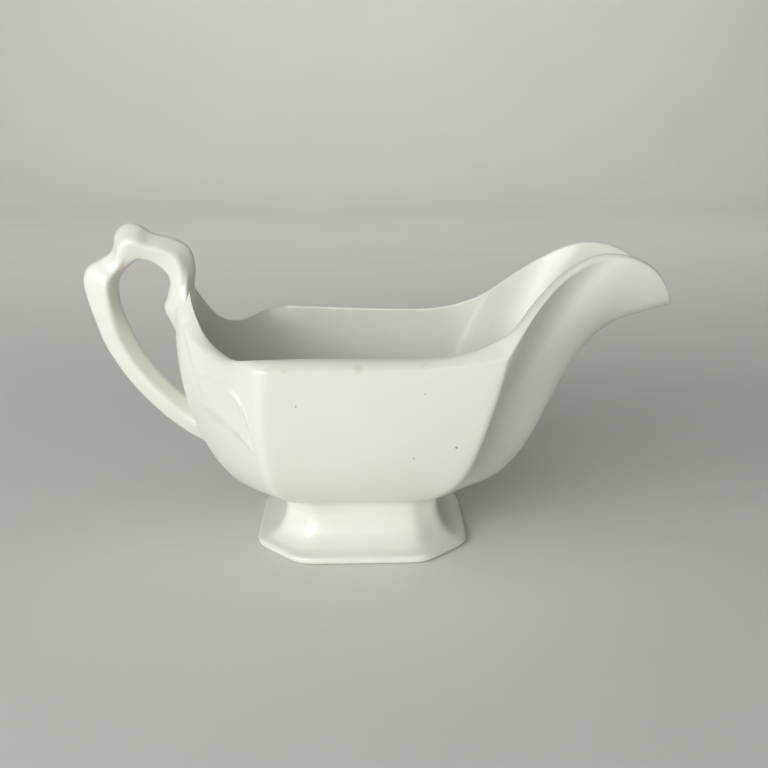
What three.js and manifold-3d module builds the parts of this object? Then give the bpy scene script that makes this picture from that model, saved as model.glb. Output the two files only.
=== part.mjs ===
// Porcelain cream jug (a footed sauce boat) in millimetres, +Z up.
// The pouring spout points along +X and the handle along -X.
// The jug is mirror-symmetric about y = 0, but for a slight skew of the foot's base.
// The origin is under the middle of the jug, on the surface that it stands on.
// Every half outline is written as [x, half-width, z] and mirrored to both sides.

import * as THREE from "three";
import { mergeVertices } from "three/addons/utils/BufferGeometryUtils.js";
import Module from "manifold-3d";

// ---- Driving dimensions ----

const JOINT_GAP = 0.3; // clearance between neighbouring pieces
const SLIP_THICKNESS = 0.8; // the clay slip that bonds two pieces
const SLIP_BEAD = 0.7; // how far a bead of slip stands out round the handle's roots

const FOOT_CENTRE_X = -7.7;
const FOOT_TOP = 18.4;
// The foot's half length and half width, and how much of them each cut corner takes.
const BASE = { half: [39.4, 35], cut: [16.6, 15.8] };
const NECK = { half: [27.6, 24.8], cut: [9.6, 5.4] };
const END_SKEW = 1.8; // how far the base's end under the spout sits towards the near side
const BAND_HEIGHT = 3.2; // upright edge at the base
const RING_WIDTH = 5.2; // the ring that the jug stands on
const RECESS_DEPTH = 11;
const CORNER_SOFTENING = { base: 5, neck: 2 }; // how far each corner of the foot is rounded back
const COVE_START = 0.06; // the share of the cove that is a flat ledge above the upright edge
const COVE_STEPS = 7;

const BOWL_BASE = FOOT_TOP + 2 * JOINT_GAP + SLIP_THICKNESS;
const WALL = 3.9; // bowl wall
const FLOOR_SHARE = 0.97; // the bowl's inner floor against the neck's outline
const SPOUT_WALL = 2.5; // wall at the tip of the spout
const LIP_ROUND = 0.7; // how far the middle of the lip stands proud
const SIDE_BULGE = 0.6; // how far the flat panels swell between their edges

const LEAF_THICKNESS = 1.2;
const LEAF_RIM_SHARE = 0.35; // the leaf's thickness at its rim against its middle

// The shares of the handle's length that are bonded to the bowl.
const UPPER_ROOT = [0, 0.19];
const LOWER_ROOT = [0.82, 1];
const ROOT_LEAN = 0.75; // the handle's upper root is wide towards the bowl and narrow towards the finger gap

const GLAZE = "#e6e7e1";
const INNER_GLAZE = "#dfe3dc";

// ---- Curves ----

// The point past a curve's end: a curve that ends on the mirror plane carries on as its mirror image.
function beyond(end, next) {
  const onPlane = end[1] === 0 && next[1] !== 0;
  return onPlane ? [next[0], -next[1], next[2]] : end.map((v, k) => 2 * v - next[k]);
}

// The smooth curve through a list of points, at t from 0 to 1.
function along(points, t) {
  const last = points.length - 1;
  const place = Math.min(Math.max(t, 0), 1) * last;
  const i = Math.min(Math.floor(place), last - 1);
  const f = place - i;
  const [b, c] = [points[i], points[i + 1]];
  const a = points[i - 1] ?? beyond(b, c);
  const d = points[i + 2] ?? beyond(c, b);
  return b.map((v, k) => {
    const slope = (c[k] - a[k]) / 2;
    const nextSlope = (d[k] - v) / 2;
    const rise = c[k] - v;
    return v + f * (slope + f * (3 * rise - 2 * slope - nextSlope + f * (slope + nextSlope - 2 * rise)));
  });
}

const mix = (a, b, t) => a.map((v, k) => v + (b[k] - v) * t);
const plus = (a, b, scale = 1) => a.map((v, k) => v + b[k] * scale);
const smooth = (t) => {
  const s = Math.min(Math.max(t, 0), 1);
  return s * s * (3 - 2 * s);
};

// ---- The bowl's guide lines ----

// Each rail runs up the outside from the neck to the outer edge of the lip.
const neck = {
  end: FOOT_CENTRE_X - NECK.half[0],
  front: FOOT_CENTRE_X + NECK.half[0],
  side: NECK.half[1],
  cornerX: NECK.half[0] - NECK.cut[0],
  cornerY: NECK.half[1] - NECK.cut[1],
};
const RAILS = {
  back: [
    [neck.end, 0, BOWL_BASE],
    [-47.5, 0, 21.4],
    [-58.2, 0, 27],
    [-65.8, 0, 38],
    [-70.5, 0, 50.5],
    [-73, 0, 62],
    [-74.3, 0, 75],
    [-74.5, 0, 90],
  ],
  backCorner: [
    [neck.end, neck.cornerY, BOWL_BASE],
    [-46, 17.5, 21.6],
    [-56, 16, 27.4],
    [-64, 14.6, 38.5],
    [-68.8, 13.8, 50.5],
    [-71.3, 13.2, 61.5],
    [-72, 12.6, 72],
    [-70.5, 12, 82],
  ],
  shoulder: [
    [FOOT_CENTRE_X - neck.cornerX, neck.side, BOWL_BASE],
    [-30, 31.8, 22.8],
    [-36.8, 38, 28],
    [-39.7, 42.3, 37],
    [-40.7, 44.5, 48],
    [-41, 45.2, 58.5],
    [-41.1, 45.2, 67.5],
    [-41.3, 45, 75],
  ],
  frontCorner: [
    [FOOT_CENTRE_X + neck.cornerX, neck.side, BOWL_BASE],
    [17.5, 29.2, 22.8],
    [24, 32.8, 28],
    [29.6, 35.9, 37],
    [33.6, 37.9, 48],
    [36.4, 38.6, 58.5],
    [38.6, 38.6, 68.5],
    [40.4, 38.2, 77],
  ],
  keel: [
    [neck.front, 0, BOWL_BASE],
    [31, 0, 20.9],
    [44.4, 0, 21.4],
    [55.6, 0, 33.7],
    [64.4, 0, 52],
    [72.7, 0, 68],
    [84.5, 0, 79.8],
    [106.3, 0, 86.9],
  ],
};

// The outer edge and the crest of the lip over each panel, from rail to rail.
const LIP_EDGE = {
  end: [
    [-74.5, 0, 90],
    [-73.3, 6.8, 86.8],
    [-70.5, 12, 82],
  ],
  chamfer: [
    [-70.5, 12, 82],
    [-66.3, 17.2, 78],
    [-61.6, 22.4, 75.4],
    [-56.4, 28.8, 74],
    [-49.8, 36.9, 74.2],
    [-41.3, 45, 75],
  ],
  side: [
    [-41.3, 45, 75],
    [-27, 43.9, 74.9],
    [-11, 42.8, 74.7],
    [5, 41.6, 74.8],
    [21.5, 40.2, 75.1],
    [40.4, 38.2, 77],
  ],
  spout: [
    [40.4, 38.2, 77],
    [46, 34.6, 84.7],
    [53.5, 27.9, 93.1],
    [63.4, 20.8, 100.8],
    [75, 16.4, 105.8],
    [86.5, 15, 105.3],
    [95.2, 12.8, 101.3],
    [100.9, 9.6, 95.2],
    [104.4, 5.4, 89.6],
    [106.3, 0, 86.9],
  ],
};
const LIP_CREST = {
  end: [
    [-68.2, 0, 95.5],
    [-67.7, 6.6, 91.4],
    [-65, 11.8, 84.5],
  ],
  chamfer: [
    [-65, 11.8, 84.5],
    [-61.7, 15.2, 79.9],
    [-57.8, 19.6, 77],
    [-53, 26.4, 75.6],
    [-48.2, 35.8, 76.6],
    [-42.6, 41.6, 78.3],
  ],
  side: [
    [-42.6, 41.6, 78.3],
    [-27, 39.2, 78],
    [-11, 37.6, 77.6],
    [5, 36.3, 77.4],
    [20.5, 35.4, 77.7],
    [35.2, 34.9, 80.5],
  ],
  spout: [
    [35.2, 34.9, 80.5],
    [42.8, 31.4, 85.4],
    [51.4, 23.9, 93.4],
    [61, 17.8, 101.2],
    [72.6, 14, 106.8],
    [84, 12.7, 106.8],
    [92.8, 10.6, 103.3],
    [98.5, 7.6, 97.4],
    [102.2, 4.2, 92],
    [103.9, 0, 89.4],
  ],
};

// ---- The bowl's surface ----

const PANELS = {
  end: { from: "back", to: "backCorner", steps: 2 },
  chamfer: { from: "backCorner", to: "shoulder", steps: 5 },
  side: { from: "shoulder", to: "frontCorner", steps: 6 },
  spout: { from: "frontCorner", to: "keel", steps: 16 },
};
const LIP_BLEND_START = 0.5; // the height share where the panels start to bend towards the lip
const NECK_BLEND_END = 0.24; // below this share the front follows the neck's cut corner
// Low down the bowl's front is evenly rounded, with a slight hollow in each flank. Between the height shares
// from and to it turns into a narrow nose of this width and squareness between deeply hollow flanks.
const SPOUT_SECTION = { hollow: 0.45, width: 0.4, power: 2.6, from: 0.25, to: 0.6 };
const SPOUT_SPREAD = 1.4; // more than 1 places the spout's columns closer together towards its nose

// How far along the spout panel the surface has come, where s is the share of the half-width left.
function spoutShare(s, v) {
  const { hollow, width, power, from, to } = SPOUT_SECTION;
  const even = 1 - (hollow * smooth(s) + (1 - hollow) * s * s);
  const least = 1 / (1 + width ** -power);
  const nose = (1 / (1 + (s / width) ** power) - least) / (1 - least);
  const rounded = even + (nose - even) * smooth((v - from) / (to - from));
  const corner = neck.cornerY / neck.side;
  const cut = s < corner ? 1 : (1 - s) / (1 - corner);
  return cut + (rounded - cut) * smooth(v / NECK_BLEND_END);
}

function panelBase(name, u, v) {
  const a = along(RAILS[PANELS[name].from], v);
  const b = along(RAILS[PANELS[name].to], v);
  if (name === "spout") {
    const share = spoutShare(1 - u, v);
    return [a[0] + (b[0] - a[0]) * share, a[1] * (1 - u), a[2] + (b[2] - a[2]) * share];
  }
  const swell = SIDE_BULGE * Math.sin(Math.PI * u) * Math.sin(Math.PI * v);
  const across = [b[1] - a[1], -(b[0] - a[0])];
  const length = Math.hypot(...across);
  const outward = [(across[0] / length) * -swell, (across[1] / length) * -swell, 0];
  return plus(mix(a, b, u), outward);
}

// The outside of the bowl at u along a panel and v up it, from neck 0 to lip edge 1.
function bowlOutside(name, u, v) {
  const fade = smooth((v - LIP_BLEND_START) / (1 - LIP_BLEND_START));
  const reach = along(LIP_EDGE[name], u).map((c, k) => c - panelBase(name, u, 1)[k]);
  return plus(panelBase(name, u, v), reach, fade);
}

// Every place round the bowl, from the back centre line by the near side (-y) to the spout and back.
function girth() {
  const half = [];
  for (const [name, { steps }] of Object.entries(PANELS)) {
    const spread = name === "spout" ? SPOUT_SPREAD : 1;
    for (let i = 0; i < steps; i += 1) {
      half.push({ name, u: 1 - (1 - i / steps) ** spread });
    }
  }
  const near = half.map((place) => ({ ...place, side: -1 }));
  const far = half.slice(1).reverse().map((place) => ({ ...place, side: 1 }));
  return [...near, { name: "spout", u: 1, side: -1 }, ...far];
}

const PLACES = girth();
const ring = (shape) =>
  PLACES.map(({ name, u, side }) => {
    const [x, half, z] = shape(name, u);
    return [x, half * side, z];
  });

const OUTSIDE_STEPS = 18;
const outsideRings = [];
for (let j = 0; j <= OUTSIDE_STEPS; j += 1) {
  outsideRings.push(ring((name, u) => bowlOutside(name, u, j / OUTSIDE_STEPS)));
}

// Outward directions at every point of a grid of closed rings.
function outwardOf(rings) {
  return rings.map((row, j) =>
    row.map((_, i) => {
      const n = row.length;
      const below = rings[Math.max(j - 1, 0)][i];
      const above = rings[Math.min(j + 1, rings.length - 1)][i];
      const round = new THREE.Vector3(...plus(row[(i + 1) % n], row[(i + n - 1) % n], -1));
      const up = new THREE.Vector3(...plus(above, below, -1));
      return round.cross(up).normalize().toArray();
    }),
  );
}

const wallAt = (x) => WALL + (SPOUT_WALL - WALL) * smooth((x - 50) / 50);

// The whole bowl as rings: up the outside, over the lip and down the inside.
// grow swells it on every side, for cutting the pieces that are bonded to it.
function bowlRings(grow) {
  const outward = outwardOf(outsideRings);
  const outside = outsideRings.map((row, j) => row.map((p, i) => plus(p, outward[j][i], grow)));
  const edge = ring((name, u) => along(LIP_EDGE[name], u));
  const crest = ring((name, u) => along(LIP_CREST[name], u));
  const topOutward = outward[OUTSIDE_STEPS];
  const lip = [0.5, 1].map((t) =>
    edge.map((p, i) => {
      const middle = plus(mix(p, crest[i], t), [0, 0, 1], Math.sin(Math.PI * t) * LIP_ROUND);
      return plus(plus(middle, topOutward[i], grow * (1 - 2 * t)), [0, 0, 2], grow * t);
    }),
  );
  const inside = [];
  for (let j = OUTSIDE_STEPS - 1; j >= 1; j -= 1) {
    inside.push(outsideRings[j].map((p, i) => plus(p, outward[j][i], -wallAt(p[0]) - grow)));
  }
  const floor = BOWL_BASE + WALL + grow;
  inside.push(outsideRings[0].map((p) => [p[0] * FLOOR_SHARE, p[1] * FLOOR_SHARE, floor]));
  return [...outside, ...lip, ...inside];
}

// ---- Solids from rings ----

// One closed solid: each ring is joined to the next, and both ends are closed by a fan.
function solidFromRings(rings) {
  const n = rings[0].length;
  const middle = (row) => row.reduce((sum, p) => plus(sum, p, 1 / n), [0, 0, 0]);
  const positions = [...rings.flat(), middle(rings[0]), middle(rings.at(-1))];
  const first = rings.length * n;
  const triangles = [];
  for (let i = 0; i < n; i += 1) {
    const next = (i + 1) % n;
    for (let j = 0; j + 1 < rings.length; j += 1) {
      const [a, b] = [j * n + i, j * n + next];
      triangles.push(a, b, b + n, a, b + n, a + n);
    }
    triangles.push(next, i, first);
    triangles.push(first - n + i, first - n + next, first + 1);
  }
  return geometryOf(positions.flat(), triangles);
}

function geometryOf(positions, triangles) {
  const geometry = new THREE.BufferGeometry();
  geometry.setAttribute("position", new THREE.Float32BufferAttribute(positions, 3));
  geometry.setIndex(triangles);
  return geometry;
}

// ---- Joins and cuts ----

const wasm = await Module();
wasm.setup();

function toSolid(geometry) {
  const merged = mergeVertices(geometry, 1e-4);
  return new wasm.Manifold(
    new wasm.Mesh({
      numProp: 3,
      vertProperties: merged.attributes.position.array,
      triVerts: new Uint32Array(merged.index.array),
    }),
  );
}

function toGeometry(solid) {
  const { vertProperties, triVerts, numProp } = solid.getMesh();
  const positions = [];
  for (let i = 0; i < vertProperties.length; i += numProp) {
    positions.push(...vertProperties.subarray(i, i + 3));
  }
  return geometryOf(positions, [...triVerts]);
}

const bowlSolid = (grow) => toSolid(solidFromRings(bowlRings(grow)));

// The largest body of a cut solid, without the slivers that the cut leaves inside the bowl.
const mainBody = (solid) => solid.decompose().sort((a, b) => b.volume() - a.volume())[0];

// ---- The foot ----

// An eight-sided ring at height z. Each corner is a short curve of three points.
// share is how far the ring has come from the base 0 to the neck 1.
function footRing({ half, cut }, z, share) {
  const soften = CORNER_SOFTENING.base + (CORNER_SOFTENING.neck - CORNER_SOFTENING.base) * share;
  const [hx, hy] = half;
  const [cx, cy] = [hx - cut[0], hy - cut[1]];
  const corners = [
    [hx, -cy],
    [hx, cy],
    [cx, hy],
    [-cx, hy],
    [-hx, cy],
    [-hx, -cy],
    [-cx, -hy],
    [cx, -hy],
  ];
  const points = corners.flatMap((corner, i) => {
    const [before, after] = [corners[(i + 7) % 8], corners[(i + 1) % 8]];
    const [a, b] = [before, after].map((other) => {
      const length = Math.hypot(other[0] - corner[0], other[1] - corner[1]);
      return mix(corner, other, Math.min(soften / length, 0.45));
    });
    return [a, mix(mix(a, b, 0.5), corner, 0.5), b];
  });
  const skew = (x, y) => END_SKEW * (1 - share) * smooth(x / hx) * (1 - (y / hy) ** 2);
  return points.map(([x, y]) => [FOOT_CENTRE_X + x, y - skew(x, y), z]);
}

const footOutline = (t) => ({ half: mix(BASE.half, NECK.half, t), cut: mix(BASE.cut, NECK.cut, t) });
const inset = ({ half, cut }, by) => ({ half: half.map((h) => h - by), cut: cut.map((c) => c - by * 0.5) });

function footGeometry() {
  const baseRing = (by, z) => footRing(inset(BASE, by), z, 0);
  const rings = [
    baseRing(RING_WIDTH + 9, RECESS_DEPTH),
    baseRing(RING_WIDTH + 4, RECESS_DEPTH - 1.5),
    baseRing(RING_WIDTH + 0.8, 3),
    baseRing(RING_WIDTH, 0),
    baseRing(0.9, 0),
    baseRing(0, 0.9),
    baseRing(0, BAND_HEIGHT - 0.8),
  ];
  const coveHeight = FOOT_TOP - BAND_HEIGHT;
  for (let i = 0; i <= COVE_STEPS; i += 1) {
    const turn = (i / COVE_STEPS) * (Math.PI / 2);
    const share = COVE_START + (1 - COVE_START) * Math.sin(turn);
    rings.push(footRing(footOutline(share), BAND_HEIGHT + coveHeight * (1 - Math.cos(turn)), share));
  }
  return solidFromRings(rings);
}

function footSlipGeometry() {
  const bottom = FOOT_TOP + JOINT_GAP;
  const at = (z) => footRing(inset(NECK, -0.5), z, 1);
  return solidFromRings([at(bottom), at(bottom + SLIP_THICKNESS)]);
}

// ---- The handle ----

// Pairs of points across the handle in the x-z plane, [outer x, z, inner x, z, half-thickness],
// from the root at the back of the rim, over the top knob and the elbow, to the root low on the bowl.
const HANDLE_STATIONS = [
  [-71.5, 77.5, -75.6, 78.5, 5.5],
  [-68.8, 85.5, -78.8, 86, 8.6],
  [-68, 91, -77.3, 90.4, 7.4],
  [-67.5, 96, -75.7, 95.6, 6],
  [-66.9, 101.2, -76.4, 98.7, 5.2],
  [-68.6, 107.9, -78.4, 101, 5],
  [-74.2, 111.4, -81.2, 103, 5.2],
  [-80.8, 113.1, -84.2, 103.9, 5.5],
  [-85.4, 116.6, -86.6, 103.8, 6],
  [-90.1, 117, -88.4, 102.8, 6],
  [-93.8, 113.7, -89.8, 101.5, 5.6],
  [-95.2, 107.6, -91.4, 100.1, 5.4],
  [-99.6, 104.4, -92.8, 98.5, 5.6],
  [-104.6, 101.4, -93.9, 96.6, 6],
  [-106.3, 96.4, -94.5, 93.7, 6],
  [-105.3, 89.4, -94.3, 89, 5.6],
  [-103.5, 82.4, -93.1, 83.6, 5.3],
  [-101, 73.9, -90.6, 76.4, 5.2],
  [-96.6, 65.1, -87, 68.9, 5.1],
  [-90.5, 55.9, -82, 61.5, 5],
  [-83.2, 47.7, -76.4, 55.4, 5],
  [-76, 41.4, -70.8, 50.2, 5.2],
  [-69.6, 37, -66, 46, 5.6],
  [-62.5, 33.4, -60, 42.5, 5.8],
];
const HANDLE_SIDES = 12;
const HANDLE_SQUARENESS = 0.85; // 1 is an ellipse, less is squarer

// The handle, or the part of it between two shares of its length, swelled by grow.
function handleGeometry(from, to, steps, grow) {
  const rings = [];
  for (let j = 0; j <= steps; j += 1) {
    const [ox, oz, ix, iz, half] = along(HANDLE_STATIONS, from + ((to - from) * j) / steps);
    const [cx, cz] = [(ox + ix) / 2, (oz + iz) / 2];
    const reach = Math.hypot(ox - ix, oz - iz) / 2;
    const [ex, ez] = [(ox - cx) / reach, (oz - cz) / reach];
    const share = from + ((to - from) * j) / steps;
    const lean = ROOT_LEAN * (1 - smooth(share / UPPER_ROOT[1]));
    const row = [];
    for (let i = 0; i < HANDLE_SIDES; i += 1) {
      const turn = (i / HANDLE_SIDES) * 2 * Math.PI;
      const squared = (v) => Math.sign(v) * Math.abs(v) ** HANDLE_SQUARENESS;
      const across = squared(Math.cos(turn)) * (reach + grow);
      const wide = (1 + lean * Math.cos(turn)) / (1 + lean * lean * 0.5);
      const sideways = squared(Math.sin(turn)) * (half * wide + grow);
      row.push([cx + ex * across, sideways, cz + ez * across]);
    }
    rings.push(row);
  }
  return solidFromRings(rings);
}

// ---- The leaves in relief ----

// The leaf on the cut back panel, from its stalk by the handle to its tip, as [u, v, half-width in v].
const LEAF_STATIONS = [
  [0.08, 0.72, 0.03],
  [0.24, 0.725, 0.1],
  [0.42, 0.735, 0.145],
  [0.6, 0.735, 0.165],
  [0.75, 0.715, 0.155],
  [0.86, 0.655, 0.12],
  [0.905, 0.53, 0.008],
];
const LEAF_LONG_STEPS = 12;
const LEAF_WIDE_STEPS = 6;

function leafGeometry(side) {
  const row = (t) => {
    const [u, v, half] = along(LEAF_STATIONS, t);
    const points = [];
    const place = (k, height) => {
      const q = (2 * k) / LEAF_WIDE_STEPS - 1;
      const at = (du, dv) => new THREE.Vector3(...bowlOutside("chamfer", u + du, v + q * half + dv));
      const outward = at(0.01, 0).sub(at(-0.01, 0)).cross(at(0, 0.01).sub(at(0, -0.01))).normalize();
      const [x, w, z] = at(0, 0).addScaledVector(outward, -height).toArray();
      return [x, w * side, z];
    };
    for (let k = 0; k <= LEAF_WIDE_STEPS; k += 1) {
      points.push(place(k, JOINT_GAP));
    }
    for (let k = LEAF_WIDE_STEPS; k >= 0; k -= 1) {
      const crown = Math.sin((Math.PI * (k + 0.5)) / (LEAF_WIDE_STEPS + 1));
      const share = LEAF_RIM_SHARE + (1 - LEAF_RIM_SHARE) * crown;
      points.push(place(k, JOINT_GAP + LEAF_THICKNESS * share));
    }
    return side > 0 ? points.reverse() : points;
  };
  const rings = [];
  for (let j = 0; j <= LEAF_LONG_STEPS; j += 1) {
    rings.push(row(j / LEAF_LONG_STEPS));
  }
  return solidFromRings(rings);
}

// ---- Assembly ----

const jug = new THREE.Group();
jug.name = "cream_jug";

function add(name, geometry, color) {
  const material = new THREE.MeshStandardMaterial({ color, roughness: 0.15, metalness: 0 });
  const mesh = new THREE.Mesh(geometry, material);
  mesh.name = name;
  jug.add(mesh);
}

add("bowl_body", solidFromRings(bowlRings(0)), INNER_GLAZE);
add("pedestal_foot", footGeometry(), GLAZE);
add("foot_slip", footSlipGeometry(), GLAZE);

const wholeHandle = toSolid(handleGeometry(0, 1, 44, 0));
const clearOfSlip = bowlSolid(2 * JOINT_GAP + SLIP_THICKNESS);
const clearOfBowl = bowlSolid(JOINT_GAP);
add("handle", toGeometry(mainBody(wholeHandle.subtract(clearOfSlip).subtract(clearOfBowl))), GLAZE);

const slipSkin = bowlSolid(JOINT_GAP + SLIP_THICKNESS);
const upperRoot = toSolid(handleGeometry(...UPPER_ROOT, 9, SLIP_BEAD));
const lowerRoot = toSolid(handleGeometry(...LOWER_ROOT, 6, SLIP_BEAD));
add("handle_upper_slip", toGeometry(mainBody(upperRoot.intersect(slipSkin).subtract(clearOfBowl))), GLAZE);
add("handle_lower_slip", toGeometry(mainBody(lowerRoot.intersect(slipSkin).subtract(clearOfBowl))), GLAZE);

add("leaf_near", leafGeometry(-1), GLAZE);
add("leaf_far", leafGeometry(1), GLAZE);

export default jug;
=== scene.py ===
"""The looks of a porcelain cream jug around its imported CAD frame.

The frame is in metres, +Z up, with the pouring spout along +X and the handle along -X.
Shape constants are in millimetres, and MM turns them into the frame's metres. The bowl and the foot
have the same driving dimensions as the CAD. The handle and the leaf have finer sections of their own.
"""

import math

import bpy
import numpy as np
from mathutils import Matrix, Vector
from mathutils.bvhtree import BVHTree


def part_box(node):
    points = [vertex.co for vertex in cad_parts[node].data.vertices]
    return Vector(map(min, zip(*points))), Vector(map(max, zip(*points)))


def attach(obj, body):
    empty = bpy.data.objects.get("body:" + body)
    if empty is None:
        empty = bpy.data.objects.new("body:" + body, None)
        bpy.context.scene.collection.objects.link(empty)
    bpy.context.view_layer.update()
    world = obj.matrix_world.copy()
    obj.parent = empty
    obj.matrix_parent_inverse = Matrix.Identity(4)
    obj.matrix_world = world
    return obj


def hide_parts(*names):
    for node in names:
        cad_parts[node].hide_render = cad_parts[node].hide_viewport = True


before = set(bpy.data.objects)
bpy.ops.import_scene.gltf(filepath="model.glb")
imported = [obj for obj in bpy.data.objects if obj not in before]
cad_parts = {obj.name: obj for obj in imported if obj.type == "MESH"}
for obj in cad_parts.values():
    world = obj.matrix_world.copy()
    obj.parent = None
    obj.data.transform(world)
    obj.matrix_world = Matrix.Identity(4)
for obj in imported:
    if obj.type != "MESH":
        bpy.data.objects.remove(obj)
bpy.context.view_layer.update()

MM = 0.001

# ---- Dimensions shared with the CAD ----

foot_low, foot_high = (np.array(corner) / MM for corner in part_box("pedestal_foot"))
FOOT_CENTRE_X = (foot_low[0] + foot_high[0]) / 2
FOOT_TOP = foot_high[2]
# Outlines of the foot: half-length, half-width, then how much of each the cut corner takes.
BASE = np.array([(foot_high[0] - foot_low[0]) / 2, foot_high[1], 16.6, 15.8])
NECK = np.array([27.6, 24.8, 9.6, 5.4])
BAND_HEIGHT = 3.2
RING_WIDTH = 5.2
RECESS_DEPTH = 11
COVE_START = 0.06
END_SKEW = 1.8

BOWL_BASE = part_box("bowl_body")[0].z / MM
WALL = 3.9
SPOUT_WALL = 2.5
LIP_ROUND = 0.7
SIDE_BULGE = 0.6
FLOOR_SHARE = 0.97
NECK_END = FOOT_CENTRE_X - NECK[0]
NECK_FRONT = FOOT_CENTRE_X + NECK[0]
NECK_CORNER = (NECK[0] - NECK[2], NECK[1] - NECK[3])

RAILS = {
    "back": [
        [NECK_END, 0, BOWL_BASE], [-47.5, 0, 21.4], [-58.2, 0, 27], [-65.8, 0, 38],
        [-70.5, 0, 50.5], [-73, 0, 62], [-74.3, 0, 75], [-74.5, 0, 90],
    ],
    "back_corner": [
        [NECK_END, NECK_CORNER[1], BOWL_BASE], [-46, 17.5, 21.6], [-56, 16, 27.4], [-64, 14.6, 38.5],
        [-68.8, 13.8, 50.5], [-71.3, 13.2, 61.5], [-72, 12.6, 72], [-70.5, 12, 82],
    ],
    "shoulder": [
        [FOOT_CENTRE_X - NECK_CORNER[0], NECK[1], BOWL_BASE], [-30, 31.8, 22.8], [-36.8, 38, 28],
        [-39.7, 42.3, 37], [-40.7, 44.5, 48], [-41, 45.2, 58.5], [-41.1, 45.2, 67.5], [-41.3, 45, 75],
    ],
    "front_corner": [
        [FOOT_CENTRE_X + NECK_CORNER[0], NECK[1], BOWL_BASE], [17.5, 29.2, 22.8], [24, 32.8, 28],
        [29.6, 35.9, 37], [33.6, 37.9, 48], [36.4, 38.6, 58.5], [38.6, 38.6, 68.5], [40.4, 38.2, 77],
    ],
    "keel": [
        [NECK_FRONT, 0, BOWL_BASE], [31, 0, 20.9], [44.4, 0, 21.4], [55.6, 0, 33.7],
        [64.4, 0, 52], [72.7, 0, 68], [84.5, 0, 79.8], [106.3, 0, 86.9],
    ],
}
LIP_EDGE = {
    "end": [[-74.5, 0, 90], [-73.3, 6.8, 86.8], [-70.5, 12, 82]],
    "chamfer": [
        [-70.5, 12, 82], [-66.3, 17.2, 78], [-61.6, 22.4, 75.4],
        [-56.4, 28.8, 74], [-49.8, 36.9, 74.2], [-41.3, 45, 75],
    ],
    "side": [
        [-41.3, 45, 75], [-27, 43.9, 74.9], [-11, 42.8, 74.7],
        [5, 41.6, 74.8], [21.5, 40.2, 75.1], [40.4, 38.2, 77],
    ],
    "spout": [
        [40.4, 38.2, 77], [46, 34.6, 84.7], [53.5, 27.9, 93.1], [63.4, 20.8, 100.8], [75, 16.4, 105.8],
        [86.5, 15, 105.3], [95.2, 12.8, 101.3], [100.9, 9.6, 95.2], [104.4, 5.4, 89.6], [106.3, 0, 86.9],
    ],
}
LIP_CREST = {
    "end": [[-68.2, 0, 95.5], [-67.7, 6.6, 91.4], [-65, 11.8, 84.5]],
    "chamfer": [
        [-65, 11.8, 84.5], [-61.7, 15.2, 79.9], [-57.8, 19.6, 77],
        [-53, 26.4, 75.6], [-48.2, 35.8, 76.6], [-42.6, 41.6, 78.3],
    ],
    "side": [
        [-42.6, 41.6, 78.3], [-27, 39.2, 78], [-11, 37.6, 77.6],
        [5, 36.3, 77.4], [20.5, 35.4, 77.7], [35.2, 34.9, 80.5],
    ],
    "spout": [
        [35.2, 34.9, 80.5], [42.8, 31.4, 85.4], [51.4, 23.9, 93.4], [61, 17.8, 101.2], [72.6, 14, 106.8],
        [84, 12.7, 106.8], [92.8, 10.6, 103.3], [98.5, 7.6, 97.4], [102.2, 4.2, 92], [103.9, 0, 89.4],
    ],
}
# How hollow the front is low down, then the nose's width and squareness.
SPOUT_SECTION = (0.45, 0.4, 2.6)
# The rails at both sides of each panel, and how many columns it gets.
PANELS = {
    "end": ("back", "back_corner", 12),
    "chamfer": ("back_corner", "shoulder", 60),
    "side": ("shoulder", "front_corner", 96),
    "spout": ("front_corner", "keel", 120),
}

# ---- Sections of the visible handle and leaf ----

# Pairs of points across the handle in the x-z plane: outer x, z, inner x, z, half-thickness.
HANDLE_STATIONS = [
    [-71.1, 77.4, -75.6, 78.5, 5.5], [-68, 85.5, -78.9, 86, 8.6], [-67.5, 91, -77.4, 90.4, 6.9],
    [-67.1, 96, -76, 95.6, 6], [-66.2, 101.6, -76.4, 98.7, 5.2], [-67.9, 108.5, -78.4, 101, 5],
    [-73.8, 111.9, -81.2, 103, 5.2], [-80.6, 113.6, -84.2, 103.9, 5.5], [-85.2, 116.7, -86.6, 103.8, 6],
    [-90.2, 117, -88.4, 102.8, 6], [-93.8, 113.8, -89.8, 101.5, 5.6], [-95.3, 107.7, -91.4, 100.1, 5.4],
    [-99.6, 104.5, -92.8, 98.5, 5.6], [-104.5, 101.4, -93.8, 96.6, 6.5], [-106.1, 96.4, -94.4, 93.7, 6.8],
    [-105.2, 89.4, -94.2, 89, 6.4], [-103.5, 82.4, -92.8, 83.6, 6.1], [-101.1, 73.9, -90.2, 76.5, 6],
    [-96.7, 65.1, -86.6, 69, 5.9], [-90.6, 55.9, -81.7, 61.7, 5.8], [-83.2, 47.6, -76.1, 55.7, 5.8],
    [-76, 41.3, -70.6, 50.6, 6], [-69.7, 36.9, -65.8, 46.4, 6], [-62.6, 33.2, -59.9, 43, 5.8],
]

HANDLE_ROWS = 281
HANDLE_COLUMNS = 64
UPPER_JOINT_ROWS = 54
LOWER_JOINT_START = 236
FLARE_START = 0.84
FLARE_RADIUS = 4.0
FLARE_STRENGTH = 1.2
SLIP_THICKNESS = 0.1
SLIP_SUNK = -0.06

# The leaf on the cut back panel, from its stalk by the handle to its tip: u, v, half-width in v.
LEAF_STATIONS = [
    [0.08, 0.72, 0.03], [0.24, 0.73, 0.1], [0.42, 0.745, 0.15], [0.6, 0.745, 0.175],
    [0.75, 0.725, 0.175], [0.86, 0.665, 0.13], [0.905, 0.54, 0.008],
]
LEAF_HEIGHT = 0.42
LEAF_EDGE_HEIGHT = 0.28
LEAF_VALLEY_DEPTH = 0.12
LEAF_ROOT_DEPTH = 0.9

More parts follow.
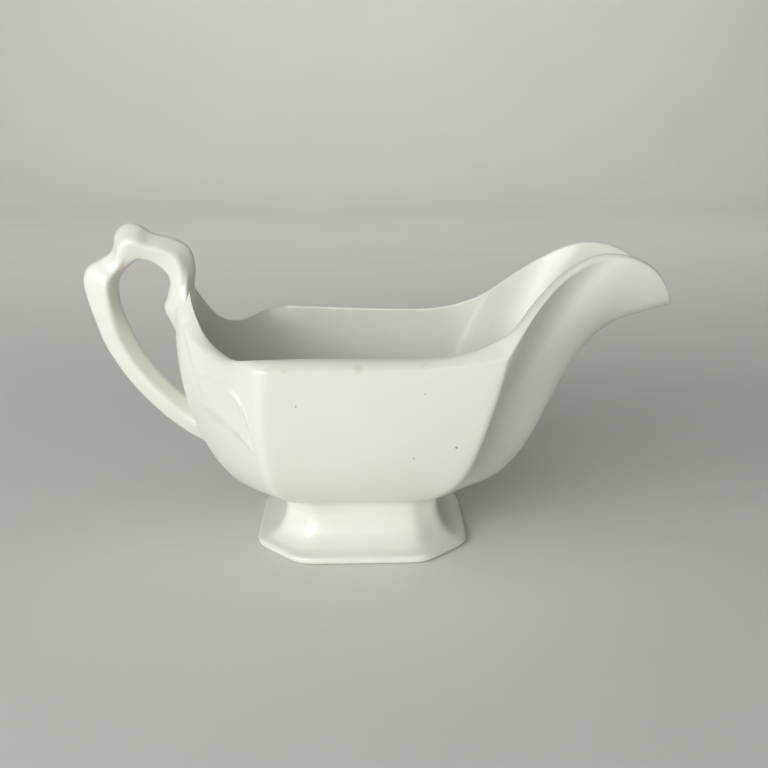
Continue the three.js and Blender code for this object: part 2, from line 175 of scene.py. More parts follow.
# Creases in the cut back panel, as lines of u, v. The vine runs down from the handle's root, the valley
# lies under the lip, and the crease runs along below the leaf.
VINE = [[-0.02, 1.0], [0.07, 0.962], [0.14, 0.933], [0.22, 0.877], [0.305, 0.815], [0.33, 0.77]]
LIP_VALLEY = [[0.25, 0.98], [0.45, 0.965], [0.65, 0.96], [0.85, 0.955], [1.0, 0.95]]
LEAF_CREASE = [[0.3, 0.62], [0.4, 0.602], [0.51, 0.585], [0.635, 0.563], [0.75, 0.54], [0.87, 0.52]]
CHAMFER_SIZE = (50.0, 60.0)

# How long each panel is round the rim, for finding the distance to its corners.
RIM_LENGTH = {"end": 14, "chamfer": 46, "side": 82, "spout": 92}
LIP_BEAD = 0.6
WOBBLE = 0.07

# ---- Curves ----


def smooth(t):
    t = np.clip(t, 0, 1)
    return t * t * (3 - 2 * t)


def beyond(end, following):
    """The point past a curve's end: a curve that ends on the mirror plane carries on as its mirror image."""
    if end[1] == 0 and following[1] != 0:
        return following * [1, -1, 1]
    return 2 * end - following


def along(points, t):
    """The smooth curve through a list of points, at every t from 0 to 1."""
    p = np.asarray(points, float)
    q = np.vstack([beyond(p[0], p[1]), p, beyond(p[-1], p[-2])])
    place = np.clip(t, 0, 1) * (len(p) - 1)
    i = np.minimum(place.astype(int), len(p) - 2)
    f = (place - i)[..., None]
    a, b, c, d = q[i], q[i + 1], q[i + 2], q[i + 3]
    cubic = 1.5 * (b - c) + 0.5 * (d - a)
    return b + f * ((c - a) / 2 + f * (a - 2.5 * b + 2 * c - 0.5 * d + f * cubic))


def blur_matrix(line, sigma, closed):
    """Weights that smooth a line of points over sigma millimetres of its own length."""
    step = np.linalg.norm(np.diff(line, axis=0, append=line[:1]), axis=1)
    place = np.concatenate([[0], np.cumsum(step)])
    gap = np.abs(place[:-1, None] - place[None, :-1])
    if closed:
        gap = np.minimum(gap, place[-1] - gap)
        share = (step + np.roll(step, 1)) / 2
    else:
        step[-1] = 0
        share = (step + np.roll(step, 1)) / 2
    sigma = np.maximum(np.broadcast_to(sigma, len(line)), 1e-3)[:, None]
    weight = np.exp(-0.5 * (gap / sigma) ** 2) * np.maximum(share, 1e-6)
    return weight / weight.sum(1, keepdims=True)


def blur_rings(rows, sigma):
    """Rounds the corners of closed rings. sigma may differ from ring to ring and from point to point."""
    sigma = np.asarray(sigma, float)
    sigma = np.broadcast_to(sigma[..., None] if sigma.ndim == 1 else sigma, rows.shape[:2])
    return np.stack([blur_matrix(row, s, True) @ row for row, s in zip(rows, sigma)])


def blur_profiles(rows, sigma, keep_ends=True):
    """Rounds each profile that runs from the first ring to the last. sigma may differ along it."""
    lines = np.moveaxis(rows, 1, 0)
    made = np.stack([blur_matrix(line, sigma, False) @ line for line in lines], axis=1)
    if keep_ends:
        made[0], made[-1] = rows[0], rows[-1]
    return made


def outward(rows):
    """Outward directions of a grid of closed rings that climb the outside."""
    sideways = np.roll(rows, -1, axis=1) - np.roll(rows, 1, axis=1)
    up = np.gradient(rows, axis=0)
    n = np.cross(sideways, up)
    return n / np.maximum(np.linalg.norm(n, axis=2, keepdims=True), 1e-9)


# ---- Meshes ----


def wobble(points):
    """The slight unevenness of a hand-finished piece, in millimetres, the same field for every piece."""
    x, y, z = points[:, 0], points[:, 1], points[:, 2]
    a = np.sin(x / 17 + 1.3 * np.sin(z / 23)) + np.sin(y / 13 + 0.7) * np.cos(z / 19 + x / 31)
    b = np.sin(y / 15 + z / 21 + 2.1) + np.sin(x / 22 - z / 12)
    c = np.sin(x / 19 + y / 14 + 0.4) + np.cos(x / 12 - y / 27)
    rise = smooth(z / 12)
    return np.stack([a, b, c * rise], axis=1) * WOBBLE


def mesh_from_rings(name, rows, material, replaces, flip=False, uneven=True):
    """A piece from closed rings, closed at both ends with a fan of triangles."""
    count, n = rows.shape[:2]
    points = rows.reshape(-1, 3)
    index = np.arange(count * n).reshape(count, n)
    below, above = index[:-1], index[1:]
    quads = np.stack([below, np.roll(below, -1, axis=1), np.roll(above, -1, axis=1), above], axis=-1)
    faces = quads.reshape(-1, 4).tolist()
    points = np.vstack([points, rows[0].mean(0), rows[-1].mean(0)])
    first, last = count * n, count * n + 1
    for i in range(n):
        k = (i + 1) % n
        faces.append([int(index[0, k]), int(index[0, i]), first])
        faces.append([int(index[-1, i]), int(index[-1, k]), last])
    if flip:
        faces = [face[::-1] for face in faces]
    mesh = bpy.data.meshes.new(name)
    if uneven:
        points = points + wobble(points)
    mesh.from_pydata((points * MM).tolist(), [], faces)
    mesh.validate()
    mesh.shade_smooth()
    piece = bpy.data.objects.new(name, mesh)
    bpy.context.scene.collection.objects.link(piece)
    mesh.materials.append(material)
    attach(piece, "root")
    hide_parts(*replaces)
    return piece


# ---- The bowl ----


def spout_share(s, v):
    """How far along the spout panel the surface has come, where s is the share of the half-width left.

    Low down the front is evenly rounded. Higher up it is a narrow nose between hollow flanks.
    """
    hollow, width, power = SPOUT_SECTION
    even = 1 - (hollow * smooth(s) + (1 - hollow) * s * s)
    least = 1 / (1 + width**-power)
    nose = (1 / (1 + (s / width) ** power) - least) / (1 - least)
    rounded = even + (nose - even) * smooth((v - 0.25) / 0.35)
    corner = NECK_CORNER[1] / NECK[1]
    cut = np.where(s < corner, 1, (1 - s) / (1 - corner))
    return cut + (rounded - cut) * smooth(v / 0.24)


def panel_base(name, u, v):
    start, stop, _ = PANELS[name]
    a, b = along(RAILS[start], v), along(RAILS[stop], v)
    if name == "spout":
        share = spout_share(1 - u, v)[..., None]
        made = a + (b - a) * share
        made[..., 1] = a[..., 1] * (1 - u)
        return made
    swell = SIDE_BULGE * np.sin(math.pi * u) * np.sin(math.pi * v)
    dx, dy = b[..., 0] - a[..., 0], b[..., 1] - a[..., 1]
    length = np.hypot(dx, dy)
    out = np.stack([-dy / length * swell, dx / length * swell, np.zeros_like(swell)], axis=-1)
    return a + (b - a) * u[..., None] + out


def bowl_outside(name, u, v):
    """The outside of the bowl at u along a panel and v up it, from neck 0 to lip edge 1."""
    u, v = np.broadcast_arrays(np.asarray(u, float), np.asarray(v, float))
    fade = smooth((v - 0.5) / 0.5)[..., None]
    reach = along(LIP_EDGE[name], u) - panel_base(name, u, np.ones_like(v))
    return panel_base(name, u, v) + reach * fade


def around(shape):
    """Whole rings from shape(panel, u), which gives the near half of them as columns of points."""
    columns = []
    for name, (_, _, steps) in PANELS.items():
        last = name == "spout"
        u = np.linspace(0, 1, steps + 1)[: steps + (1 if last else 0)]
        columns.append(shape(name, u))
    half = np.concatenate(columns, axis=1)
    near, far = half * [1, -1, 1], half[:, -2:0:-1]
    return np.concatenate([near, far], axis=1)


def near_corner(start, stop, reach):
    """A weight for every column of a ring: 1 at the corners where panel start ends and stop begins."""

    def weight(name, u):
        away = np.full_like(u, 1e3)
        if name == start:
            away = (1 - u) * RIM_LENGTH[name]
        if name == stop:
            away = u * RIM_LENGTH[name]
        value = np.exp(-((away / reach) ** 2))
        return np.stack([value, value * 0, value * 0], axis=-1)[None]

    return around(weight)[0, :, 0]


def groove(u, v, line, width):
    """How close each place on the cut back panel is to a line, from 0 to 1."""
    line = along(np.column_stack([np.array(line), np.ones(len(line))]), np.linspace(0, 1, 60))[:, :2]
    size = np.array(CHAMFER_SIZE)
    place = np.stack([u, v], axis=-1) * size
    gap = np.linalg.norm(place[..., None, :] - line * size, axis=-1).min(-1)
    return np.exp(-((gap / width) ** 2))


def panel_relief(name, u, v):
    """How far the moulded creases of the cut back panel sink in, in millimetres."""
    u, v = np.broadcast_arrays(u, v)
    if name != "chamfer":
        return np.zeros(u.shape)
    vine = groove(u, v, VINE, 1.1) * smooth((v - 0.75) / 0.08)
    ridge = groove(u - 0.035, v - 0.012, VINE, 1.6) * smooth((v - 0.74) / 0.1)
    valley = groove(u, v, LIP_VALLEY, 2.0) * smooth((1 - u) / 0.15) * smooth((u - 0.2) / 0.2)
    crease = groove(u, v, LEAF_CREASE, 1.0) * smooth((u - 0.3) / 0.25) * smooth((0.88 - u) / 0.1)
    return vine * 0.5 - ridge * 0.3 + valley * 0.5 + crease * 0.4


def bowl_grid():
    v = np.concatenate([np.linspace(0, 0.955, 84), np.linspace(0.955, 1, 11)[1:]])
    raw = around(lambda name, u: bowl_outside(name, u[None, :], v[:, None]))
    handle_end = near_corner("end", "chamfer", 6)
    back_corner = near_corner("chamfer", "side", 7)
    front_corner = near_corner("side", "spout", 7)
    top = smooth((v - 0.8) / 0.2)[:, None]
    sigma = 1.7 - 0.8 * top + top * (2.2 * handle_end + 1.8 * back_corner - 0.4 * front_corner)
    outside = blur_rings(raw, sigma)
    sunk = around(lambda name, u: panel_relief(name, u[None, :], v[:, None])[..., None] * np.ones(3))
    outside = outside - outward(outside) * sunk[..., :1]
    edge = outside[-1]
    out = outward(outside)[-1]
    crest = around(lambda name, u: along(LIP_CREST[name], u)[None])
    crest = blur_rings(crest, (1.0 + 3.2 * handle_end + 4.2 * back_corner + 4.6 * front_corner)[None])[0]
    t = np.linspace(0, 1, 15)[1:, None, None]
    up = np.array([0, 0, 1.0])
    bead = around(lambda name, u: (name == "chamfer") * np.sin(math.pi * u)[None, :, None] * np.ones(3))
    lip = edge + (crest - edge) * t + (up * LIP_ROUND + out * bead * LIP_BEAD) * np.sin(math.pi * t)

    v_in = np.linspace(0.935, 0.03, 58)
    soft = around(lambda name, u: bowl_outside(name, u[None, :], v_in[::-1, None]))
    soft = blur_rings(soft, 7.5 - 4.8 * smooth((soft[..., 0] - 30) / 35))
    wall = WALL + (SPOUT_WALL - WALL) * smooth((soft[..., :1] - 50) / 50)
    inside = (soft - outward(soft) * wall)[::-1]
    rim = inside[0]
    t = (np.arange(1, 9) / 9)[:, None, None]
    throat = crest + (rim - crest) * t

    floor_z = BOWL_BASE + WALL
    floor_ring = blur_rings(raw[:1], 5.0)[0] * [FLOOR_SHARE, FLOOR_SHARE, 0] + [0, 0, floor_z]
    middle = np.array([FOOT_CENTRE_X, 0, floor_z])
    shares = np.array([1, 0.9, 0.78, 0.64, 0.48, 0.3, 0.12])[:, None, None]
    floor = middle + (floor_ring - middle) * shares

    rows = np.concatenate([outside, lip, throat, inside, floor])
    sigma = np.concatenate([
        3.0 - 2.3 * smooth((v - 0.8) / 0.2),
        np.linspace(0.7, 0.5, len(lip)),
        np.linspace(0.5, 2.0, len(throat)),
        np.linspace(2.0, 3.5, len(inside)),
        np.full(len(floor), 3.5),
    ])
    sigma[:2] = 0.5
    return blur_profiles(rows, sigma)


# ---- The foot ----


def octagon(outline, z, share=0.0):
    """An eight-sided ring with the same number of points along each side at every size.

    share is how far the ring has come from the base 0 to the neck 1.
    """
    hx, hy, cx, cy = outline
    corners = np.array([
        [hx, -(hy - cy)], [hx, hy - cy], [hx - cx, hy], [-(hx - cx), hy],
        [-hx, hy - cy], [-hx, -(hy - cy)], [-(hx - cx), -hy], [hx - cx, -hy],
    ])
    counts = [36, 34, 48, 34, 36, 34, 48, 34]
    points = []
    for i, count in enumerate(counts):
        t = (np.arange(count) / count)[:, None]
        points.append(corners[i] + (corners[(i + 1) % 8] - corners[i]) * t)
    x, y = np.concatenate(points).T
    y = y - END_SKEW * (1 - share) * smooth(x / hx) * (1 - (y / hy) ** 2)
    return np.column_stack([x + FOOT_CENTRE_X, y, np.full(len(x), float(z))])


def inset(outline, by):
    return np.array(outline) - np.array([by, by, by * 0.5, by * 0.5])


def cove_share(z):
    """How far the foot has drawn in from its base to its neck at a height."""
    turn = math.acos(np.clip(1 - (z - BAND_HEIGHT) / (FOOT_TOP - BAND_HEIGHT), 0, 1))
    return COVE_START + (1 - COVE_START) * math.sin(turn)


def foot_grid():
    keys = [
        (inset(BASE, RING_WIDTH + 9), RECESS_DEPTH), (inset(BASE, RING_WIDTH + 4), RECESS_DEPTH - 1.5),
        (inset(BASE, RING_WIDTH + 0.8), 3), (inset(BASE, RING_WIDTH), 0), (inset(BASE, 0.9), 0),
        (BASE, 0.9), (BASE, BAND_HEIGHT - 0.8), (BASE + (NECK - BASE) * COVE_START, BAND_HEIGHT),
    ]
    rows, sigma = [], []
    for (a, za), (b, zb) in zip(keys, keys[1:]):
        length = np.hypot(a[0] - b[0], za - zb)
        steps = max(3, int(length / 0.6))
        for k in range(steps):
            rows.append(octagon(a + (b - a) * k / steps, za + (zb - za) * k / steps))
            sigma.append(3.4)
    for turn in np.linspace(0, math.pi / 2, 46):
        z = BAND_HEIGHT + (FOOT_TOP - BAND_HEIGHT) * (1 - math.cos(turn))
        share = cove_share(z)
        rows.append(octagon(BASE + (NECK - BASE) * share, z, share))
        sigma.append(3.4 - 1.5 * share)
    rows = blur_rings(np.array(rows), sigma)
    return blur_profiles(rows, 1.0)


def foot_joint_grid(foot_rows, bowl_tree):
    """The fillet of slip and glaze between the foot's neck and the underside of the bowl."""
    neck_top = foot_rows[-1]
    low = foot_rows[np.argmax(foot_rows[:, :, 2].mean(1) > FOOT_TOP - 3.2)]
    inward = np.array([FOOT_CENTRE_X, 0, 0]) - neck_top * [1, 1, 0]
    inward /= np.linalg.norm(inward, axis=1, keepdims=True)
    wide = blur_rings(octagon(inset(NECK, -2.0), 0, 1)[None], 3.0)[0]
    bowl = []
    for x, y, _ in wide:
        hit = bowl_tree.ray_cast(Vector((x, y, 12)), Vector((0, 0, 1)))[0]
        bowl.append([x, y, (hit.z if hit else BOWL_BASE) + 0.02])
    bowl = np.array(bowl)
    bend = neck_top * [1, 1, 0] + bowl * [0, 0, 1] - [0, 0, 0.5]
    t = np.linspace(0, 1, 14)[:, None, None]
    fillet = (1 - t) ** 2 * (low + inward * 0.04) + 2 * t * (1 - t) * bend + t**2 * bowl
    return np.concatenate([(low + inward * 4)[None], fillet, (bowl + inward * 6)[None] + [0, 0, 0.8]])


# ---- The handle ----


def handle_section(ridge, outer_flat, inner_flat, soft):
    """A softened six-sided section, with its widest point at ridge, from 1 at the outside to -1 inside."""
    corners = np.array([
        [1, outer_flat], [ridge, 1], [-1, inner_flat], [-1, -inner_flat], [ridge, -1], [1, -outer_flat],
    ])
    dense = np.concatenate([
        corners[i] + (corners[(i + 1) % 6] - corners[i]) * np.linspace(0, 1, 60, endpoint=False)[:, None]
        for i in range(6)
    ])
    line = np.column_stack([dense, np.zeros(len(dense))])
    line = blur_matrix(line, soft, True) @ line
    line = line[:, :2] / np.abs(line[:, :2]).max(0)
    angle = np.arctan2(line[:, 1], line[:, 0]) % (2 * math.pi)
    order = np.argsort(angle)
    wanted = np.linspace(0, 2 * math.pi, HANDLE_COLUMNS, endpoint=False)
    reach = np.interp(wanted, angle[order], np.hypot(*line[order].T), period=2 * math.pi)
    return np.column_stack([reach * np.cos(wanted), reach * np.sin(wanted)])


def handle_grid():
    t = np.linspace(0, 1, HANDLE_ROWS)
    ox, oz, ix, iz, half = along(HANDLE_STATIONS, t).T
    centre = np.column_stack([(ox + ix) / 2, np.zeros(len(t)), (oz + iz) / 2])
    across = np.column_stack([(ox - ix) / 2, np.zeros(len(t)), (oz - iz) / 2])
    top = handle_section(0.1, 0.05, 0.6, soft=0.2)
    elbow = handle_section(-0.62, 0.45, 0.15, soft=0.17)
    strand = handle_section(-0.22, 0.45, 0.1, soft=0.2)
    spur = handle_section(0.7, 0.15, 0.1, soft=0.2)
    shape = top + (elbow - top) * smooth((t - 0.36) / 0.2)[:, None, None]
    shape = shape + (strand - shape) * smooth((t - 0.62) / 0.12)[:, None, None]
    shape = shape + (spur - shape) * smooth((0.2 - t) / 0.15)[:, None, None]
    rows = centre[:, None] + across[:, None] * shape[..., :1]
    rows[..., 1] = half[:, None] * shape[..., 1]
    return blur_profiles(rows, 0.7)


def depth_at(tree, point):
    """How far a point lies outside the bowl's outer side, and the bowl's direction there."""
    near, normal, _, away = tree.find_nearest(Vector(point))
    inside_wall = (Vector(point) - near).dot(normal) < 0 and away < 2.5
    return (-away if inside_wall else away), np.array(normal)


def flared(rows, tree):
    """The handle's rows with the lower end flaring out where it meets the bowl."""
    made = rows.copy()
    for j in range(int(len(rows) * FLARE_START), len(rows)):
        middle = rows[j].mean(0)
        for i, p in enumerate(rows[j]):
            depth, normal = depth_at(tree, p)
            if depth > FLARE_RADIUS:
                continue
            out = p - middle
            out = out - out.dot(normal) * normal
            lift = FLARE_STRENGTH * min((1 - max(depth, -1.0) / FLARE_RADIUS) ** 2.2, 1.6)
            made[j, i] += out / max(np.linalg.norm(out), 1e-6) * lift
    return made


def joint_grid(rows, fade):
    """A thin skin of slip over an end of the handle. fade goes from 0 for full slip to 1 for none."""
    thickness = SLIP_THICKNESS + (SLIP_SUNK - SLIP_THICKNESS) * smooth(fade)
    spread = rows - rows.mean(1, keepdims=True)
    length = np.maximum(np.linalg.norm(spread, axis=2, keepdims=True), 1e-6)
    return rows + spread / length * thickness[:, None, None]


# ---- The leaves ----


def leaf_grid(side, tree):
    p = np.linspace(0, 1, 110)
    q = np.linspace(-1, 1, 45)
    u, v, half = along(LEAF_STATIONS, p).T
    uu = np.broadcast_to(u[:, None], (len(p), len(q)))
    vv = v[:, None] + q * half[:, None]
    d = 0.006
    base = bowl_outside("chamfer", uu, vv) * [1, side, 1]
    normal = np.cross(
        bowl_outside("chamfer", uu + d, vv) - bowl_outside("chamfer", uu - d, vv),
        bowl_outside("chamfer", uu, vv + d) - bowl_outside("chamfer", uu, vv - d),
    )
    normal = -normal / np.linalg.norm(normal, axis=2, keepdims=True) * [1, side, 1]
    for i in range(len(p)):
        for j in range(len(q)):
            hit = tree.ray_cast(Vector(base[i, j] + normal[i, j] * 3), Vector(-normal[i, j]), 6.0)[0]
            if hit:
                base[i, j] = hit
    start = smooth(p / 0.42)[:, None]
    tip = smooth((1 - p) / 0.16)[:, None]
    crisp = smooth((p - 0.45) / 0.4)[:, None]
    upper = smooth((1 - q) / (0.5 - 0.28 * crisp))
    lower = smooth((1 + q) / (0.65 - 0.38 * crisp))
    edge = LEAF_EDGE_HEIGHT * np.exp(-(((q - 0.76) / 0.2) ** 2))
    valley = LEAF_VALLEY_DEPTH * np.exp(-((q / 0.3) ** 2))
    body = LEAF_HEIGHT + edge - valley
    height = -0.12 + (body + 0.12) * start * tip * upper * lower
    top = base + normal * height[..., None]
    bottom = base - normal * LEAF_ROOT_DEPTH
    return np.concatenate([top, bottom[:, ::-1]], axis=1)


# ---- Materials ----


def node(tree, kind, inputs=None, **settings):
    made = tree.nodes.new(kind)
    for key, value in settings.items():
        setattr(made, key, value)
    for key, value in (inputs or {}).items():
        if isinstance(value, bpy.types.NodeSocket):
            tree.links.new(value, made.inputs[key])
        else:
            made.inputs[key].default_value = value
    return made


def blend_colour(tree, share, a, b):
    mix = node(tree, "ShaderNodeMix", data_type="RGBA")
    for socket, value in ((mix.inputs[0], share), (mix.inputs[6], a), (mix.inputs[7], b)):
        if isinstance(value, bpy.types.NodeSocket):
            tree.links.new(value, socket)
        else:
            socket.default_value = value
    return mix.outputs[2]


def maths(tree, operation, *values):
    return node(tree, "ShaderNodeMath", dict(enumerate(values)), operation=operation).outputs[0]


def vector(tree, operation, a, b, output="Vector"):
    return node(tree, "ShaderNodeVectorMath", {0: a, 1: b}, operation=operation).outputs[output]


def ramp(tree, value, start, stop, low=0.0, high=1.0):
    settings = {"Value": value, "From Min": start, "From Max": stop, "To Min": low, "To Max": high}
    return node(tree, "ShaderNodeMapRange", settings).outputs[0]


def noise(tree, place, scale, detail=3.0, roughness=0.5):
    settings = {"Vector": place, "Scale": scale, "Detail": detail, "Roughness": roughness}
    return node(tree, "ShaderNodeTexNoise", settings).outputs[0]


def scratch_glint_distance(tree, place, start, stop):
    """The distance from a straight scratch, whose ends are given in millimetres; a highlight is painted
    along it.
    """
    start, stop = np.array(start) * MM, np.array(stop) * MM
    line = stop - start
    away = vector(tree, "SUBTRACT", place, tuple(start))
    share = vector(tree, "DOT_PRODUCT", away, tuple(line / line.dot(line)), "Value")
    share = node(tree, "ShaderNodeClamp", {"Value": share}).outputs[0]
    scaled = node(tree, "ShaderNodeVectorMath", {0: tuple(line), "Scale": share}, operation="SCALE")
    return vector(tree, "DISTANCE", away, scaled.outputs[0], "Value")


WHITE = (0.80, 0.795, 0.735, 1)
WHITE_HANDLE = (0.81, 0.80, 0.74, 1)
WHITE_FOOT = (0.81, 0.805, 0.745, 1)
WHITE_SLIP = (0.80, 0.793, 0.73, 1)
CLOUDY = (0.77, 0.768, 0.71, 1)
CREAM = (0.70, 0.62, 0.46, 1)
GREY = (0.6, 0.58, 0.52, 1)
STAIN = (0.50, 0.40, 0.26, 1)
PINHOLE = (0.10, 0.08, 0.06, 1)
SPECK = (0.25, 0.21, 0.16, 1)
# Near white painted along each scratch as a highlight; the rougher scratch itself is real wear.
SCRATCH_GLINT = (0.95, 0.95, 0.92, 1)
DRY_BODY = (0.62, 0.55, 0.43, 1)
FLOOR_DARK = (0.74, 0.72, 0.69, 1)
FLOOR_PALE = (0.79, 0.77, 0.74, 1)


def glaze_material(name, colour, cloudy, marks=(), scratch_glints=(), dry_ring=False):
    """A glossy glaze over a white body, with clouding, stains, pinholes, smears and fine ripples.

    marks are (x, y, z, radius, strength, colour), scratches are pairs of points, all in millimetres. A
    scratch is rougher glaze, and its whiter colour is a painted highlight along it.
    """
    material = bpy.data.materials.new(name)
    material.use_nodes = True
    tree = material.node_tree
    shader = tree.nodes["Principled BSDF"]
    place = node(tree, "ShaderNodeTexCoord").outputs["Object"]
    cloud = ramp(tree, noise(tree, place, 24.0), 0.25, 0.75)
    base = blend_colour(tree, cloud, colour, cloudy)
    mottle = ramp(tree, noise(tree, place, 45.0, 2.0), 0.3, 0.8, 0.0, 0.1)
    base = blend_colour(tree, mottle, base, CREAM)
    grain = ramp(tree, noise(tree, place, 1700.0, 2.0), 0.3, 0.7, 0.0, 0.07)
    base = blend_colour(tree, grain, base, GREY)

    cell = node(tree, "ShaderNodeTexVoronoi", {"Vector": place, "Scale": 100.0})
    rare = maths(tree, "GREATER_THAN", cell.outputs["Color"], 0.93)
    dots = maths(tree, "MULTIPLY", ramp(tree, cell.outputs["Distance"], 0.012, 0.03, 1.0, 0.0), rare)
    base = blend_colour(tree, maths(tree, "MULTIPLY", dots, 0.6), base, SPECK)

    ragged = ramp(tree, noise(tree, place, 900.0, 2.0), 0.3, 0.7, 0.7, 1.3)
    pits = maths(tree, "MULTIPLY", dots, 0.3)
    for x, y, z, radius, strength, tint in marks:
        gap = vector(tree, "DISTANCE", place, (x * MM, y * MM, z * MM), "Value")
        gap = maths(tree, "MULTIPLY", gap, ragged)
        spot = ramp(tree, gap, radius * 0.3 * MM, radius * MM, strength, 0.0)
        base = blend_colour(tree, spot, base, tint)
        if tint == PINHOLE:
            pits = maths(tree, "MAXIMUM", pits, spot)

    smear = ramp(tree, noise(tree, place, 60.0, 2.0), 0.25, 0.8, 0.285, 0.36)
    rough = maths(tree, "ADD", smear, maths(tree, "MULTIPLY", pits, 0.4))
    # Scratches: rougher glaze along each line, with a whiter colour painted on as a highlight.
    for start, stop in scratch_glints:
        line = ramp(tree, scratch_glint_distance(tree, place, start, stop), 0.00008, 0.00022, 1.0, 0.0)
        base = blend_colour(tree, maths(tree, "MULTIPLY", line, 0.8), base, SCRATCH_GLINT)
        rough = maths(tree, "MAXIMUM", rough, maths(tree, "MULTIPLY", line, 0.5))
    if dry_ring:
        height = node(tree, "ShaderNodeSeparateXYZ", {0: place}).outputs["Z"]
        grain = maths(tree, "MULTIPLY", noise(tree, place, 700.0), 0.0006)
        dry = ramp(tree, maths(tree, "ADD", height, grain), 0.0005, 0.0008, 1.0, 0.0)
        base = blend_colour(tree, dry, base, DRY_BODY)
        rough = maths(tree, "MAXIMUM", rough, maths(tree, "MULTIPLY", dry, 0.8))
    tree.links.new(base, shader.inputs["Base Color"])
    tree.links.new(rough, shader.inputs["Roughness"])
    shader.inputs["IOR"].default_value = 1.5
    shader.inputs["Coat Weight"].default_value = 0.3
    shader.inputs["Coat Roughness"].default_value = 0.22

    fine = maths(tree, "MULTIPLY", noise(tree, place, 420.0), 0.12)
    ripple = maths(tree, "ADD", noise(tree, place, 90.0, 2.0), fine)
    height = maths(tree, "SUBTRACT", ripple, maths(tree, "MULTIPLY", pits, 0.6))
    bump = node(tree, "ShaderNodeBump", {"Height": height, "Strength": 0.2, "Distance": 0.0004})
    tree.links.new(bump.outputs[0], shader.inputs["Normal"])
    return material


def floor_material():
    material = bpy.data.materials.new("floor_paper")
    material.use_nodes = True
    tree = material.node_tree
    shader = tree.nodes["Principled BSDF"]
    place = node(tree, "ShaderNodeTexCoord").outputs["Object"]
    colour = blend_colour(tree, noise(tree, place, 6.0, 4.0), FLOOR_DARK, FLOOR_PALE)
    tree.links.new(colour, shader.inputs["Base Color"])
    shader.inputs["Roughness"].default_value = 0.75
    return material


bowl_glaze = glaze_material("bowl_glaze", WHITE, CLOUDY, marks=[
    (-32.1, -44.0, 75.4, 1.6, 0.25, STAIN),
    (-8.6, -42.3, 75.2, 2.4, 0.28, STAIN),
    (13.0, -40.6, 76.4, 2.0, 0.2, STAIN),
    (14.0, 34.0, 66.0, 3.0, 0.25, STAIN),
    (-28.8, -44.5, 63.3, 0.4, 0.8, PINHOLE),
    (24.2, -38.7, 46.3, 0.5, 0.85, PINHOLE),
    (9.9, -39.6, 42.8, 0.45, 0.6, PINHOLE),
    (13.2, -41.3, 66.2, 0.35, 0.6, PINHOLE),
])
leaf_glaze = glaze_material("leaf_glaze", WHITE, CLOUDY)
handle_glaze = glaze_material("handle_glaze", WHITE_HANDLE, CLOUDY, marks=[
    (-87.0, -5.6, 104.5, 1.6, 0.3, STAIN),
])
foot_glaze = glaze_material(
    "foot_glaze", WHITE_FOOT, CLOUDY, dry_ring=True,
    # Two scratches on the near cut corner of the foot, painted whiter as a highlight.
    scratch_glints=[((12.6, -30.2, 12.4), (19.4, -24.8, 13.2)), ((12.8, -30.3, 11.2), (13.6, -29.6, 12.6))],
)
joint_slip = glaze_material("joint_slip", WHITE_SLIP, CLOUDY)

# ---- The jug ----

bowl = mesh_from_rings("bowl", bowl_grid(), material=bowl_glaze, replaces=["bowl_body"])
bowl_tree = BVHTree.FromPolygons(
    [tuple(v.co / MM) for v in bowl.data.vertices], [tuple(p.vertices) for p in bowl.data.polygons]
)

foot_rows = foot_grid()
mesh_from_rings("foot", foot_rows, material=foot_glaze, replaces=["pedestal_foot"])
mesh_from_rings(
    "foot_joint", foot_joint_grid(foot_rows, bowl_tree), material=joint_slip,
    replaces=["foot_slip"],
)

handle_rows = flared(handle_grid(), bowl_tree)
mesh_from_rings("handle_loop", handle_rows, material=handle_glaze, replaces=["handle"])
upper, lower = handle_rows[:UPPER_JOINT_ROWS], handle_rows[LOWER_JOINT_START:]
mesh_from_rings(
    "handle_joint_upper", joint_grid(upper, np.linspace(0, 1, len(upper)) * 3 - 2),
    material=joint_slip, replaces=["handle_upper_slip"],
)
mesh_from_rings(
    "handle_joint_lower", joint_grid(lower, 1 - np.linspace(0, 1, len(lower)) * 3),
    material=joint_slip, replaces=["handle_lower_slip"],
)
for side, where in ((-1, "near"), (1, "far")):
    mesh_from_rings(
        "leaf_relief_" + where, leaf_grid(side, bowl_tree), material=leaf_glaze,
        replaces=["leaf_" + where], flip=side > 0, uneven=False,
    )

# ---- Floor, light and camera ----


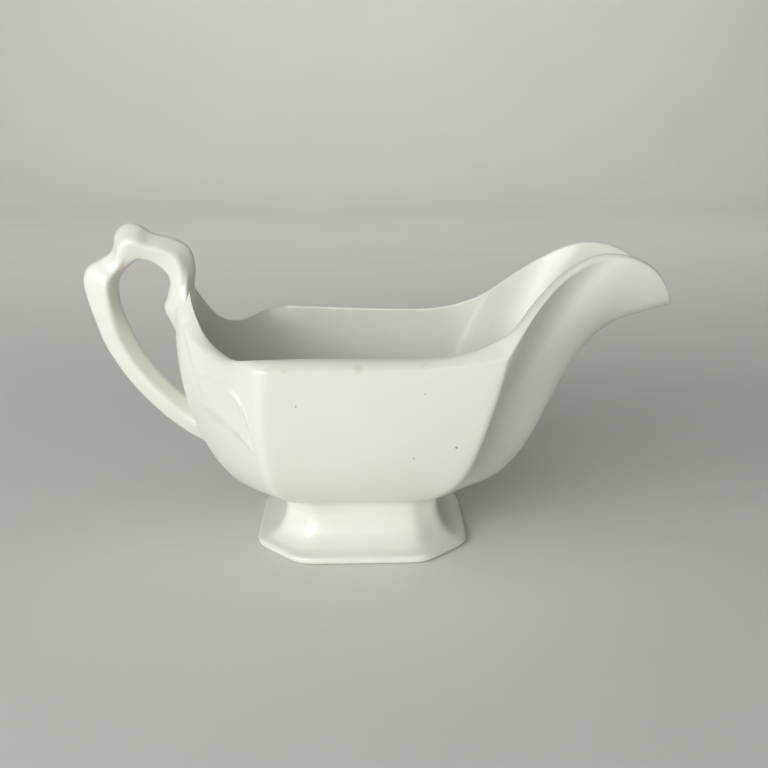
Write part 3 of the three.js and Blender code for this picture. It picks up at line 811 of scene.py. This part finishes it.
def sweep_floor():
    """A pale floor that curves up behind into a backdrop."""
    half, near, far, radius, height = 1.6, -1.2, 1.1, 0.5, 1.6
    profile = [(near, 0.0), (far, 0.0)]
    for k in range(1, 13):
        a = k / 12 * math.pi / 2
        profile.append((far + radius * math.sin(a), radius * (1 - math.cos(a))))
    profile.append((far + radius, height))
    points = [(x, y, z) for y, z in profile for x in (-half, half)]
    faces = [[2 * i, 2 * i + 1, 2 * i + 3, 2 * i + 2] for i in range(len(profile) - 1)]
    mesh = bpy.data.meshes.new("floor")
    mesh.from_pydata(points, [], faces)
    mesh.shade_smooth()
    mesh.materials.append(floor_material())
    floor = bpy.data.objects.new("floor", mesh)
    bpy.context.scene.collection.objects.link(floor)


def area_light(name, place, target, size, power, colour):
    light = bpy.data.lights.new(name, "AREA")
    light.shape = "RECTANGLE"
    light.size, light.size_y = size
    light.energy = power
    light.color = colour
    lamp = bpy.data.objects.new(name, light)
    lamp.location = place
    lamp.rotation_euler = (Vector(target) - Vector(place)).to_track_quat("-Z", "Y").to_euler()
    bpy.context.scene.collection.objects.link(lamp)


sweep_floor()
area_light("window", (-0.57, -1.06, 0.40), (0, 0, 0.05), (1.0, 0.7), 10.3, (1.0, 1.0, 0.985))
area_light("side_window", (-0.92, -0.70, 0.48), (0, 0, 0.05), (0.8, 0.8), 4.3, (0.97, 0.985, 1.0))
area_light("front_right", (0.60, -1.05, 0.37), (0, 0, 0.05), (0.7, 0.7), 2.0, (1.0, 0.95, 0.88))
area_light("top", (0.0, -0.2, 1.35), (0, 0, 0.05), (1.2, 1.2), 2.2, (1.0, 0.98, 0.95))
area_light("backdrop", (0.0, 0.5, 1.0), (0, 1.6, 0.5), (2.4, 0.5), 10.0, (1.0, 0.98, 0.95))

world = bpy.data.worlds.new("studio")
bpy.context.scene.world = world
world.use_nodes = True
world.node_tree.nodes["Background"].inputs["Color"].default_value = (1.0, 0.94, 0.86, 1)
world.node_tree.nodes["Background"].inputs["Strength"].default_value = 0.05
bpy.context.scene.view_settings.view_transform = "Standard"

camera_data = bpy.data.cameras.new("camera")
camera_data.sensor_width = 36
camera_data.lens = 40.22
camera_data.clip_start = 0.01
camera = bpy.data.objects.new("camera", camera_data)
camera.location = (-0.00715, -0.3067, 0.154)
camera.rotation_euler = (math.radians(90 - 17.6), 0, math.radians(-1.5))
bpy.context.scene.collection.objects.link(camera)
bpy.context.scene.camera = camera

bpy.context.view_layer.update()
